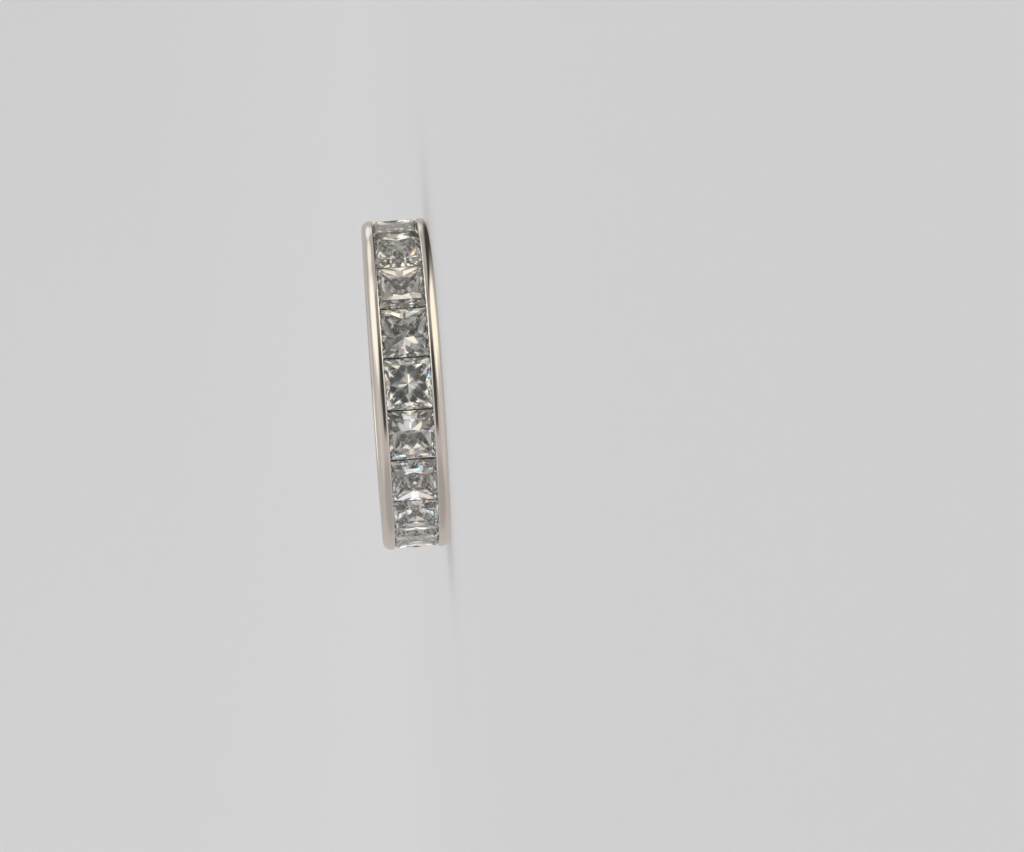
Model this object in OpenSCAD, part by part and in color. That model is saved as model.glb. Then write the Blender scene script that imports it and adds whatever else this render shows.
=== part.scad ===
// Full eternity wedding band: one row of square princess-cut stones held in a
// channel between two polished rails. The ring lies on its side, its axis along Z
// and its lower side face on z = 0, with the origin at the centre of that face.

/* [Ring] */
// Inside diameter of the finger hole, US size 6
finger_d = 16.5; // [15:0.1:19]
// Number of stones in the full circle
stone_count = 20; // [18:1:24]
// Thickness of the hoop under the channel
hoop_t = 0.75; // [0.65:0.05:0.8]

/* [Rails] */
// Width of each rail, seen from the front
rail_w = 0.77; // [0.68:0.01:0.9]
// Radius of the rail's round outer corner
rail_round = 0.5; // [0.4:0.02:0.5]
// Radius of the rail's small round edge beside the stones
lip_round = 0.14; // [0.08:0.01:0.16]
// Height of the lip's straight edge over the stones
lip_edge = 0.03; // [0.03:0.01:0.08]
// How far each rail reaches over the edge of the stones
tuck = 0.19; // [0.14:0.01:0.25]
// Radius of the worn edges of the finger hole
finger_round = 0.2; // [0.1:0.05:0.3]
// Diameter of the small opening under each stone, at the finger
azure_d = 0.76; // [0.5:0.02:0.8]

/* [Stones] */
// Table width as a share of the stone's width
table_share = 0.74; // [0.7:0.01:0.76]
// Crown height as a share of the stone's width
crown_share = 0.115; // [0.09:0.005:0.12]
// Pavilion depth as a share of the stone's width
pavilion_share = 0.57; // [0.55:0.01:0.6]
// Thickness of the girdle
girdle_h = 0.08; // [0.05:0.01:0.1]
// Height of the culet over the finger hole's wall
culet_lift = 0.23; // [0.2:0.01:0.3]
// Gap between two stones at the girdle
stone_gap = 0.05; // [0.02:0.01:0.06]
// Gap between a stone and the metal round it
seat_gap = 0.04; // [0.03:0.005:0.05]
// How much the cut differs from stone to stone, as a share
cut_spread = 0.012; // [0:0.001:0.015]
// How far each stone leans in its seat, in degrees
lean = 0.4; // [0:0.1:0.5]

/* [Hidden] */
$fn = 96;
pitch = 360 / stone_count;
finger_r = finger_d / 2;
hoop_r = finger_r + hoop_t;

// The stones fill the circle: their width follows from its size and their number
culet_r = finger_r + culet_lift;
stone_w = (2 * culet_r * tan(pitch / 2) - stone_gap) / (1 - 2 * pavilion_share * tan(pitch / 2));
half_w = stone_w / 2;
crown_h = crown_share * stone_w;
pavilion_h = pavilion_share * stone_w;
girdle_r = culet_r + pavilion_h;
table_half = table_share * half_w;

// The tip of the star facet on each side, as shares of the way from the table to the girdle
star_out = 0.62;
star_drop = 0.4;
star_half = table_half + star_out * (half_w - table_half);
star_h = (1 - star_drop) * crown_h;
star_spread_factor = 4;
star_spread = star_spread_factor * cut_spread;

// The pavilion's chevrons: [share of the depth, share of the half width]
CHEVRONS = [
    [0.00, 1.00],
    [0.24, 0.885],
    [0.53, 0.665],
    [0.80, 0.35],
    [1.00, 0.00]
];

// The channel, as radii and as half widths from the middle of the band
channel_over = 1;
open_half = half_w - tuck;
groove_half = half_w + seat_gap;
wall_half = CHEVRONS[1][1] * half_w + seat_gap;
lip_crown_h = crown_h * tuck / (half_w - table_half);
lip_r = norm([girdle_r + girdle_h + lip_crown_h, open_half]) + seat_gap;
groove_top_r = norm([girdle_r + girdle_h, half_w]) + seat_gap;
groove_bottom_r = girdle_r - seat_gap;
seat_r = groove_bottom_r - CHEVRONS[1][0] * pavilion_h;
rail_r = lip_r + lip_edge + lip_round;
band_w = 2 * (open_half + rail_w);
mid_z = band_w / 2;

// The opening under each stone: drilled straight at the finger, then flared for the culet
azure_gap = 0.14;
azure_straight_h = 0.4 * hoop_t;
azure_flare_h = hoop_t - azure_straight_h;
azure_hoop_r = lookup((girdle_r - hoop_r) / pavilion_h, CHEVRONS) * half_w + azure_gap;
azure_slope = (azure_hoop_r - azure_d / 2) / azure_flare_h;
azure_run = 0.05;

STONES = [for (i = [1:stone_count]) str("stone_", i < 10 ? "0" : "", i)];
METAL = [0.87, 0.85, 0.82];
GEM = [0.86, 0.91, 0.95];

// The corner that edge_round takes off a right-angled edge; into points into the metal
module edge_round(corner, into, r) {
    translate(corner) difference() {
        square(2 * r, center = true);
        translate(into * r) circle(r = r);
    }
}

// One half of the channel's section, from the middle of the band outwards
function channel_half(side) = [
    for (p = [
        [rail_r + channel_over, open_half],
        [lip_r, open_half],
        [groove_top_r, groove_half],
        [groove_bottom_r, groove_half],
        [seat_r, wall_half],
        [hoop_r, wall_half]
    ]) [p[0], mid_z + side * p[1]]
];

function backwards(points) = [for (i = [len(points) - 1:-1:0]) points[i]];

module band_section() {
    difference() {
        translate([finger_r, 0]) square([rail_r - finger_r, band_w]);
        polygon(concat(channel_half(-1), backwards(channel_half(1))));
        for (side = [-1, 1]) {
            outer_z = mid_z + side * mid_z;
            edge_round([rail_r, outer_z], [-1, -side], rail_round);
            edge_round([finger_r, outer_z], [1, -side], finger_round);
            edge_round([rail_r, mid_z + side * open_half], [-1, side], lip_round);
        }
    }
}

// The opening through the hoop under one stone
module azure() {
    translate([finger_r, 0, mid_z]) rotate([0, 90, 0]) {
        translate([0, 0, -azure_run]) cylinder(h = hoop_t, d = azure_d);
        translate([0, 0, azure_straight_h]) cylinder(
            h = azure_flare_h + azure_run,
            r1 = azure_d / 2,
            r2 = azure_hoop_r + azure_slope * azure_run
        );
    }
}

module band() {
    color(METAL) difference() {
        rotate_extrude() band_section();
        for (i = [0:stone_count - 1]) rotate([0, 0, i * pitch]) azure();
    }
}

// Four points on the corners of a square, and four on the middles of its sides
function corners(half, z) = [for (a = [45:90:315]) [half * sqrt(2) * cos(a), half * sqrt(2) * sin(a), z]];
function middles(half, z) = [for (a = [0:90:270]) [half * cos(a), half * sin(a), z]];

// A number from -1 to 1 that differs for each stone and each key
stone_turn = 137.5;
key_turn = 59;
function vary(i, key) = sin(stone_turn * i + key_turn * key);

// A princess cut with its table up: the hull of the points where its facets meet
module princess(i) {
    table = table_half * (1 + cut_spread * vary(i, 1));
    star = star_h * (1 + star_spread * vary(i, 2));
    points = concat(
        corners(table, girdle_h + crown_h),
        middles(star_half, girdle_h + star),
        corners(half_w, girdle_h),
        corners(half_w, 0),
        [for (k = [1:len(CHEVRONS) - 2])
            each middles(CHEVRONS[k][1] * half_w, -CHEVRONS[k][0] * pavilion_h * (1 + cut_spread * vary(i, 2 + k)))],
        [[0, 0, -pavilion_h]]
    );
    hull() polyhedron(points = points, faces = [[for (k = [0:len(points) - 1]) k]]);
}

// The first stone faces the front, at -Y, and the numbers run anticlockwise
module stone(i) {
    color(GEM) rotate([0, 0, (i - 1) * pitch - 90])
        translate([girdle_r, 0, mid_z])
        rotate([0, 90, 0])
        rotate([lean * vary(i, 8), lean * vary(i, 9), 0])
        princess(i);
}

band();
for (i = [1:stone_count])
    stone(i);
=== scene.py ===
"""The looks of a channel-set diamond wedding band: white gold, princess cuts, a pale studio floor."""

import math

import bpy
from mathutils import Matrix, Vector


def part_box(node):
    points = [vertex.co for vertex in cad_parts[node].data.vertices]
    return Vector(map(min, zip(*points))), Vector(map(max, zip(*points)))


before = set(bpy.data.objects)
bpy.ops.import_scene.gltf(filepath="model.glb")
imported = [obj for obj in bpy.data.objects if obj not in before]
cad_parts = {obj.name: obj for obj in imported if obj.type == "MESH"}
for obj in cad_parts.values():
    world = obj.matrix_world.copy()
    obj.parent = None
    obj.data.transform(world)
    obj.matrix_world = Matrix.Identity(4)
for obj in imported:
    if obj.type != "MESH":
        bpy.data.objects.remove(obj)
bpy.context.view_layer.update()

MM = 0.001

# The picture that the camera makes, in pixels, and where the ring's centre lies in it
PICTURE_W = 1024
PICTURE_H = 852
RING_X = 405.2
RING_Y = 384

# The ring, from the frame
RING_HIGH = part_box("band")[1]
MID = Vector((0, 0, RING_HIGH.z / 2))
STONES = sorted(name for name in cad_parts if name.startswith("stone_"))
PITCH = 2 * math.pi / len(STONES)

# The band's turned section, in millimetres: radii, half widths from its middle, and round edges
RAIL_R = RING_HIGH.x / MM
SIDE_HALF = RING_HIGH.z / MM / 2
FINGER_R = 8.25
LIP_LOW = 10.70
LIP_HALF = 1.4185
RAIL_ROUND = 0.5
LIP_ROUND = 0.14
FINGER_ROUND = 0.2
# The half width that parts the two round edges of a rail's flat top, the radius that parts the two
# of the flat side, and how far the small openings under the stones reach from the middle
TOP_SPLIT = 1.67
SIDE_SPLIT = 8.8
AZURE_REACH = 1.2
# The radii between which a stone's girdle lies, in millimetres
GIRDLE_LOW = 10.32
GIRDLE_HIGH = 10.38

# White gold: its two close tones, in soft clouds, and how rough its polish is
GOLD_WARM = (0.83, 0.795, 0.75)
GOLD_PALE = (0.80, 0.775, 0.745)
GOLD_CLOUDS = 0.35
GOLD_CLOUD_SPAN = (0.3, 0.7)
GOLD_ROUGH = 0.10
# The lines of the polishing wheel: long round the band, at a radius in millimetres, and close
# across it
WHEEL_R = 10.9
WHEEL_STRETCH = 0.06
WHEEL_CLOSE = 6.0
WHEEL_SCALE = 2.0
WHEEL_DETAIL = 3.0
WHEEL_HEIGHT = 0.35
WHEEL_ROUGH = 0.05
# The slight waves in the polish, and how deep the lines and the waves are
WAVE_SCALE = 0.9
RELIEF = 0.06
RELIEF_HEIGHT = 0.02 * MM
# Painted shade in the narrow gaps beside the stones: bounds by half width and by radius, each from
# unshaded to shaded metal
GAP_SIDE = (1.50, 1.45)
GAP_TOP = (10.79, 10.72)
GAP_FLOOR = (9.6, 10.2)
GAP_SHADE_TONE = (0.10, 0.09, 0.085)
GAP_SHADE_SHARE = 0.75

# Diamond: its clear body, the painted shade on its girdle where the stones meet, how rough its
# underside and its girdle are, and how strongly it bends light
GEM_BODY = (0.95, 0.955, 0.96)
GIRDLE_SHADE = (0.16, 0.155, 0.15)
GEM_UNDER_ROUGH = 0.08
GEM_GIRDLE_ROUGH = 0.4
GEM_BENDING = 1.65

# The floor's paper: its fine grain between two tones, the tone that it reaches up the sweep, at a
# height in millimetres, and its faint glow, which softens the shadows
PAPER_GRAIN = 0.02
PAPER_DETAIL = 3.0
PAPER_DARK = (0.592, 0.604, 0.622)
PAPER_LIGHT = (0.606, 0.616, 0.634)
PAPER_HIGH = (0.57, 0.58, 0.597)
PAPER_RISE = 60.0
PAPER_EASE = 0.6
PAPER_ROUGH = 0.9
PAPER_GLOSS = 0.1
PAPER_GLOW = 0.36

# The sweep: its flat floor, its round foot and its wall, in metres
FLOOR_R = 0.45
FOOT_R = 0.35
WALL_TOP = 0.6
FOOT_STEPS = 24
FLOOR_SIDES = 96

# The even light on the floor: where it comes from, its strength and its spread
FILL_WAY = (0, -0.6, 1)
FILL_STRENGTH = 0.10
FILL_SPREAD = math.radians(60)

# The tables of lights have one row for each card: its clock angle in the picture, from the top to
# the right, its angle off the camera and its half size, all in degrees, then its level and colour
TENT_CARDS = [
    [0, 15, 30, 0.22, (1.00, 0.97, 0.93)],
    [54, 62, 38, 1.28, (1.00, 0.93, 0.76)],
    [312, 62, 38, 1.22, (1.00, 0.95, 0.88)],
    [180, 88, 34, 0.44, (1.00, 0.92, 0.88)],
    [110, 72, 30, 0.66, (1.00, 0.93, 0.88)],
    [250, 72, 30, 0.66, (1.00, 0.93, 0.88)],
]
# The cards beside and behind the ring that only the metal mirrors
METAL_CARDS = [
    [346, 138, 11, 1.05, (1.00, 0.98, 0.95)],
    [338, 108, 16, 1.10, (1.00, 0.95, 0.84)],
    [32, 96, 10, 1.00, (1.00, 0.92, 0.76)],
]
# The small bright and dark cards that only the stones break up and show
STONE_CARDS = [
    [40, 42, 12, 0.24, (0.80, 0.88, 1.00)],
    [215, 40, 14, 0.75, (1.00, 0.96, 0.88)],
    [140, 38, 12, 0.75, (1.00, 0.95, 0.88)],
    [180, 30, 9, 0.20, (0.95, 0.84, 0.70)],
    [322, 28, 5, 1.10, (0.68, 0.86, 1.00)],
    [28, 58, 6, 1.20, (1.00, 0.70, 0.50)],
    [160, 62, 8, 1.30, (0.42, 0.85, 1.00)],
]
# Where a card's soft edge starts and ends, as shares of its half size
EDGE_IN = 0.65
EDGE_OUT = 1.35

# The tent's tones at the foot and the top of the picture, and where one passes into the other
TENT_FOOT = (0.56, 0.52, 0.495)
TENT_TOP = (0.50, 0.48, 0.445)
TENT_SPAN = (-0.6, 0.6)

# The stones' light: its warm and cool tones, and its light and dark patches, stronger in front
TONE_SCALE = 3.7
TONE_SPAN = (0.35, 0.65)
TONE_WARM = (1.10, 1.00, 0.86)
TONE_COOL = (0.89, 1.00, 1.13)
PATCH_SCALE = 4.5
PATCH_DETAIL = 3.0
PATCH_ROUGHNESS = 0.6
PATCH_SPAN = (0.36, 0.64)
PATCH_MIDDLE = 0.5
PATCH_DEPTH = 0.7
PATCH_DEPTH_FRONT = 0.9
# It is dim in front of the ring and behind it, and lighter at the foot of the picture
FRONT_SPAN = (0.4, 1.0)
FRONT_DIM = 0.62
FOOT_SPAN = (0.35, 0.95)
FOOT_LIFT = 1.9
BEHIND_WAY = (0.64, 0.77)
BEHIND_SPAN = (0.3, 0.95)
BEHIND_DIM = 0.7

# The dark slot in the tent that the rails mirror as dark lines. It runs level round one side of
# the ring, widens and drops towards the rear, and is fainter in the middle of that side
REAR_WAY = (0.5, 0.866)
SLOT_WIDTH = 0.13
SLOT_WIDENING = 0.12
SLOT_WIDENING_SPAN = (0.0, 0.8)
SLOT_DROP = 0.40
SLOT_DROP_SPAN = (-0.2, 0.6)
SLOT_EDGE = (0.4, 1.6)
SLOT_WAY = (0.899, -0.438)
SLOT_END = (-0.25, 0.0)
FAINT_WAY = (0.72, -0.694)
FAINT_SPAN = (0.88, 1.0)
FAINT = 0.35
SLOT_TONE = (0.055, 0.05, 0.047)

# The camera, as the photograph was taken
CAMERA_FAR = 188.6 * MM
CAMERA_RISE = math.radians(1.1)
CAMERA_ROLL = math.radians(3.95)
LENS_MM = 100
SENSOR_MM = 36
CLIP_NEAR = 1 * MM
CLIP_FAR = 10

# How often light may bounce, in the stones and on the metal, and how bright a bounce may be
BOUNCES = 24
METAL_BOUNCES = 12
BOUNCE_CLAMP = 6.0

# The Mix node's own numbers for its share, its two colours and its result
MIX_SHARE = 0
MIX_FIRST = 6
MIX_SECOND = 7
MIX_RESULT = 2


class Value:
    """A number that varies over a surface. Arithmetic on it adds Math nodes to its recipe."""

    def __init__(self, recipe, socket):
        self.recipe = recipe
        self.socket = socket

    def math(self, operation, *others, swap=False):
        terms = [self, *others]
        if swap:
            terms.reverse()
        return self.recipe.add("ShaderNodeMath", {"operation": operation}, dict(enumerate(terms)))

    def __add__(self, other):
        return self.math("ADD", other)

    __radd__ = __add__

    def __mul__(self, other):
        return self.math("MULTIPLY", other)

    __rmul__ = __mul__

    def __sub__(self, other):
        return self.math("SUBTRACT", other)

    def __rsub__(self, other):
        return self.math("SUBTRACT", other, swap=True)

    def __truediv__(self, other):
        return self.math("DIVIDE", other)

    def __pow__(self, other):
        return self.math("POWER", other)

    def __abs__(self):
        return self.math("ABSOLUTE")

    def past(self, start):
        """How far the value lies past start, and 0 before it."""
        return (self - start).math("MAXIMUM", 0.0)

    def ramp(self, start, end):
        """0 before start, 1 after end, and a smooth rise between them. start may lie after end."""
        settings = {"interpolation_type": "SMOOTHSTEP"}
        inputs = {"Value": self, "From Min": start, "From Max": end}
        if start > end:
            inputs = {"Value": self, "From Min": end, "From Max": start, "To Min": 1.0, "To Max": 0.0}
        return self.recipe.add("ShaderNodeMapRange", settings, inputs)


class Recipe:
    """The node tree of a material or of the world, built node by node."""

    def __init__(self, tree):
        self.tree = tree
        self.tree.nodes.clear()

    def add(self, kind, settings=None, inputs=None, output=0):
        """Adds one node: its settings first, then its sockets, as plain values or links."""
        node = self.tree.nodes.new(kind)
        for name, value in (settings or {}).items():
            setattr(node, name, value)
        for key, value in (inputs or {}).items():
            if isinstance(value, Value):
                self.tree.links.new(value.socket, node.inputs[key])
            else:
                node.inputs[key].default_value = value
        return Value(self, node.outputs[output]) if node.outputs else None

    def mix(self, share, first, second):
        """A colour between first and second, each an RGB triple or a value."""
        first, second = [end if isinstance(end, Value) else (*end, 1.0) for end in (first, second)]
        inputs = {MIX_SHARE: share, MIX_FIRST: first, MIX_SECOND: second}
        return self.add("ShaderNodeMix", {"data_type": "RGBA"}, inputs, MIX_RESULT)

    def place(self):
        """The place on the object, in millimetres of the frame."""
        return self.scale(self.add("ShaderNodeTexCoord", output="Object"), 1 / MM)

    def parts(self, vector):
        """The x, y and z of a vector, as three values."""
        split = self.add("ShaderNodeSeparateXYZ", inputs={0: vector})
        return [Value(self, socket) for socket in split.socket.node.outputs]

    def join(self, x, y, z):
        return self.add("ShaderNodeCombineXYZ", inputs={0: x, 1: y, 2: z})

    def vector(self, operation, inputs, output="Vector"):
        return self.add("ShaderNodeVectorMath", {"operation": operation}, inputs, output)

    def scale(self, vector, factor):
        return self.vector("SCALE", {0: vector, "Scale": factor})

    def noise(self, vector, scale, detail=2.0, roughness=0.5):
        """Soft cloudy values from 0 to 1. scale is in cycles for each unit of the vector."""
        inputs = {"Vector": vector, "Scale": scale, "Detail": detail, "Roughness": roughness}
        return self.add("ShaderNodeTexNoise", inputs=inputs)

    def surface(self, inputs, kind="ShaderNodeBsdfPrincipled", output="ShaderNodeOutputMaterial"):
        """Ends the recipe with a shader and its output."""
        self.add(output, inputs={"Surface": self.add(kind, inputs=inputs)})


def new_material(name):
    made = bpy.data.materials.new(name)
    made.use_nodes = True
    return made, Recipe(made.node_tree)


def length(x, y):
    """How far x and y lie from the ring's axis."""
    return (x * x + y * y) ** 0.5


def turned_normal(r, place):
    """The exact way that the band's turned skin faces, so that its round edges mirror evenly."""
    x, y, z = r.parts(place)
    radius = length(x, y)
    across = abs(z - SIDE_HALF)
    near = radius.math("LESS_THAN", SIDE_SPLIT)
    over = across.math("GREATER_THAN", TOP_SPLIT)
    finger = near * across.math("GREATER_THAN", AZURE_REACH)
    rail = (1.0 - near) * over
    lip = (1.0 - over) * radius.math("GREATER_THAN", LIP_LOW)
    turned = rail + lip + finger
    out = rail * radius.past(RAIL_R - RAIL_ROUND) + lip * radius.past(RAIL_R - LIP_ROUND)
    out = out - finger * (FINGER_R + FINGER_ROUND - radius).past(0.0)
    side = rail * across.past(SIDE_HALF - RAIL_ROUND) + finger * across.past(SIDE_HALF - FINGER_ROUND)
    side = side - lip * (LIP_HALF + LIP_ROUND - across).past(0.0)
    # Where the skin isn't turned, a plain outward length keeps the vector from being zero
    out = out + (1.0 - turned)
    facing = r.join(x / radius * out, y / radius * out, (z - SIDE_HALF).math("SIGN") * side)
    settings = {"vector_type": "NORMAL", "convert_from": "OBJECT", "convert_to": "WORLD"}
    exact = r.add("ShaderNodeVectorTransform", settings, {0: r.vector("NORMALIZE", {0: facing})})
    return r.mix(turned, r.add("ShaderNodeNewGeometry", output="Normal"), exact)


def white_gold():
    """High polish with a warm cast, fine wheel lines round the band, slight unevenness, and painted
    shade in the gaps beside the stones.
    """
    made, r = new_material("white_gold_polish")
    place = r.place()
    x, y, z = r.parts(place)
    radius = length(x, y)
    turn = y.math("ARCTAN2", x)
    along = r.join(turn * WHEEL_R * WHEEL_STRETCH, radius * WHEEL_CLOSE, z * WHEEL_CLOSE)
    wheel = r.noise(along, WHEEL_SCALE, WHEEL_DETAIL)
    cloud = r.noise(place, GOLD_CLOUDS)
    colour = r.mix(cloud.ramp(*GOLD_CLOUD_SPAN), GOLD_WARM, GOLD_PALE)
    # Painted shade: the metal's colour is darkened in the narrow gaps between the rails and the stones
    gap_shade = abs(z - SIDE_HALF).ramp(*GAP_SIDE) * radius.ramp(*GAP_TOP) * radius.ramp(*GAP_FLOOR)
    relief = {
        "Strength": RELIEF,
        "Distance": RELIEF_HEIGHT,
        "Height": wheel * WHEEL_HEIGHT + r.noise(place, WAVE_SCALE),
        "Normal": turned_normal(r, place),
    }
    r.surface({
        "Base Color": r.mix(gap_shade * GAP_SHADE_SHARE, colour, GAP_SHADE_TONE),
        "Metallic": 1.0,
        "Roughness": GOLD_ROUGH + wheel * WHEEL_ROUGH,
        "Normal": r.add("ShaderNodeBump", inputs=relief),
    })
    return made


def diamond():
    """A near-colourless stone. Its underside reflects all light, as the facets in their seat do."""
    made, r = new_material("diamond")
    x, y, z = r.parts(r.place())
    turn = y.math("ARCTAN2", x)
    offset = turn - (turn / PITCH).math("ROUND") * PITCH
    height = length(x, y) * offset.math("COSINE")
    under = height.math("LESS_THAN", GIRDLE_HIGH)
    girdle = under * height.math("GREATER_THAN", GIRDLE_LOW)
    r.surface({
        # Painted shade: the girdle, where the stones meet, gets a dark tone; its roughness is the
        # stone's own
        "Base Color": r.mix(girdle, GEM_BODY, GIRDLE_SHADE),
        "Metallic": under,
        "Roughness": under * GEM_UNDER_ROUGH + girdle * GEM_GIRDLE_ROUGH,
        "IOR": GEM_BENDING,
        "Transmission Weight": 1.0,
    })
    return made


def paper():
    """The pale, even paper of the floor and its sweep."""
    made, r = new_material("pale_card")
    place = r.place()
    colour = r.mix(r.noise(place, PAPER_GRAIN, PAPER_DETAIL), PAPER_DARK, PAPER_LIGHT)
    height = r.parts(place)[2]
    colour = r.mix((height / PAPER_RISE) ** PAPER_EASE, colour, PAPER_HIGH)
    r.surface({
        "Base Color": colour,
        "Roughness": PAPER_ROUGH,
        "Specular IOR Level": PAPER_GLOSS,
        "Emission Color": colour,
        "Emission Strength": PAPER_GLOW,
    })
    return made


def dress():
    """Gives the metal and the stones their materials, with painted shade in the gaps beside the stones
    and on the girdles.
    """
    gold = white_gold()
    gem = diamond()
    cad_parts["band"].material_slots[0].material = gold
    for name in STONES:
        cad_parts[name].material_slots[0].material = gem


def sweep():
    """A round floor that curves up into a wall all round, far outside the ring."""
    section = [(FLOOR_R, 0.0)]
    for k in range(1, FOOT_STEPS + 1):
        a = k / FOOT_STEPS * math.pi / 2
        section.append((FLOOR_R + FOOT_R * math.sin(a), FOOT_R * (1 - math.cos(a))))
    section.append((FLOOR_R + FOOT_R, WALL_TOP))
    verts = [(0.0, 0.0, 0.0)]
    for radius, height in section:
        for s in range(FLOOR_SIDES):
            a = 2 * math.pi * s / FLOOR_SIDES
            verts.append((radius * math.cos(a), radius * math.sin(a), height))
    after = [(s + 1) % FLOOR_SIDES for s in range(FLOOR_SIDES)]
    faces = [(0, 1 + s, 1 + t) for s, t in enumerate(after)]
    for row in range(len(section) - 1):
        low = 1 + row * FLOOR_SIDES
        high = low + FLOOR_SIDES
        faces += [(low + s, high + s, high + t, low + t) for s, t in enumerate(after)]
    mesh = bpy.data.meshes.new("floor")
    mesh.from_pydata(verts, [], faces)
    mesh.shade_smooth()
    mesh.materials.append(paper())
    floor = bpy.data.objects.new("floor", mesh)
    floor.visible_glossy = False
    floor.visible_transmission = False
    bpy.context.scene.collection.objects.link(floor)


def way_to(clock, off):
    """The direction at a clock angle in the picture and an angle off the camera."""
    c = math.radians(clock)
    a = math.radians(off)
    return (math.sin(a) * math.cos(c), -math.cos(a), -math.sin(a) * math.sin(c))


def hang(r, way, light, cards):
    """Puts cards in front of a light that comes from all round."""
    for clock, off, half, level, tint in cards:
        inner = math.cos(math.radians(half * EDGE_IN))
        outer = math.cos(math.radians(half * EDGE_OUT))
        near = r.vector("DOT_PRODUCT", {0: way, 1: way_to(clock, off)}, "Value")
        light = r.mix(near.ramp(outer, inner), light, tuple(level * c for c in tint))
    return light


def toward(x, y, way):
    """How far a direction points along a level way, from -1 to 1."""
    return x * way[0] + y * way[1]


def dark_slot(r, x, y, z, light):
    """Cuts the long dark slot into the light that the metal mirrors."""
    rear = toward(x, y, REAR_WAY)
    width = SLOT_WIDTH + rear.ramp(*SLOT_WIDENING_SPAN) * SLOT_WIDENING
    strip = 1.0 - (abs(z + rear.ramp(*SLOT_DROP_SPAN) * SLOT_DROP) / width).ramp(*SLOT_EDGE)
    slot = strip * toward(x, y, SLOT_WAY).ramp(*SLOT_END)
    faint = toward(x, y, FAINT_WAY).ramp(*FAINT_SPAN) * FAINT
    return r.mix(slot * (1.0 - faint), light, SLOT_TONE)


def broken_light(r, way, x, y, light):
    """The light that the stones see: small cards, warm and cool tones, light and dark patches."""
    tone = r.noise(way, TONE_SCALE).ramp(*TONE_SPAN)
    patch = r.noise(way, PATCH_SCALE, PATCH_DETAIL, PATCH_ROUGHNESS).ramp(*PATCH_SPAN) - PATCH_MIDDLE
    front = (-1.0 * y).ramp(*FRONT_SPAN)
    foot = (-1.0 * x).ramp(*FOOT_SPAN)
    behind = toward(x, y, BEHIND_WAY).ramp(*BEHIND_SPAN)
    level = (1.0 - front * FRONT_DIM) * (1.0 + foot * FOOT_LIFT) * (1.0 - behind * BEHIND_DIM)
    level = level * (1.0 + patch * (PATCH_DEPTH + front * PATCH_DEPTH_FRONT))
    carded = hang(r, way, light, STONE_CARDS)
    tinted = r.vector("MULTIPLY", {0: carded, 1: r.mix(tone, TONE_WARM, TONE_COOL)})
    return r.scale(tinted, level)


def studio_light():
    """The soft light all round: a tent with cards for the metal, and a broken-up one for the stones."""
    world = bpy.data.worlds.new("studio")
    bpy.context.scene.world = world
    world.use_nodes = True
    r = Recipe(world.node_tree)
    way = r.add("ShaderNodeTexCoord", output="Generated")
    x, y, z = r.parts(way)
    tent = r.mix(x.ramp(*TENT_SPAN), TENT_FOOT, TENT_TOP)
    carded = hang(r, way, tent, TENT_CARDS)
    metal = dark_slot(r, x, y, z, hang(r, way, carded, METAL_CARDS))
    stones = broken_light(r, way, x, y, carded)
    through = r.add("ShaderNodeLightPath", output="Is Transmission Ray")
    light = {"Color": r.mix(through, metal, stones)}
    r.surface(light, "ShaderNodeBackground", "ShaderNodeOutputWorld")


def fill_light():
    """Even light on the floor and its sweep, which the metal and the stones don't mirror."""
    data = bpy.data.lights.new("fill", "SUN")
    data.energy = FILL_STRENGTH
    data.angle = FILL_SPREAD
    made = bpy.data.objects.new("fill", data)
    made.rotation_euler = Vector(FILL_WAY).to_track_quat("Z", "Y").to_euler()
    made.visible_glossy = False
    made.visible_transmission = False
    bpy.context.scene.collection.objects.link(made)


def camera():
    """The photograph's view: the ring's axis runs to the left and a little down in the picture."""
    focal_px = LENS_MM / SENSOR_MM * PICTURE_W
    toward_camera = Vector((0, -math.cos(CAMERA_RISE), math.sin(CAMERA_RISE)))
    axis = Vector((0, math.sin(CAMERA_RISE), math.cos(CAMERA_RISE)))
    side = Vector((1, 0, 0))
    right = -math.cos(CAMERA_ROLL) * axis - math.sin(CAMERA_ROLL) * side
    up = -math.sin(CAMERA_ROLL) * axis + math.cos(CAMERA_ROLL) * side
    aim = Matrix((right, up, toward_camera)).transposed().to_4x4()
    turn = math.atan((PICTURE_W / 2 - RING_X) / focal_px)
    nod = math.atan((PICTURE_H / 2 - RING_Y) / focal_px)
    data = bpy.data.cameras.new("camera")
    data.lens = LENS_MM
    data.sensor_width = SENSOR_MM
    data.clip_start = CLIP_NEAR
    data.clip_end = CLIP_FAR
    made = bpy.data.objects.new("camera", data)
    bpy.context.scene.collection.objects.link(made)
    place = Matrix.Translation(MID + toward_camera * CAMERA_FAR)
    made.matrix_world = place @ aim @ Matrix.Rotation(-turn, 4, "Y") @ Matrix.Rotation(-nod, 4, "X")
    bpy.context.scene.camera = made


def render_settings():
    scene = bpy.context.scene
    scene.view_settings.view_transform = "Standard"
    scene.cycles.max_bounces = BOUNCES
    scene.cycles.transmission_bounces = BOUNCES
    scene.cycles.glossy_bounces = METAL_BOUNCES
    scene.cycles.use_denoising = True
    scene.cycles.sample_clamp_indirect = BOUNCE_CLAMP


render_settings()
camera()
dress()
sweep()
studio_light()
fill_light()
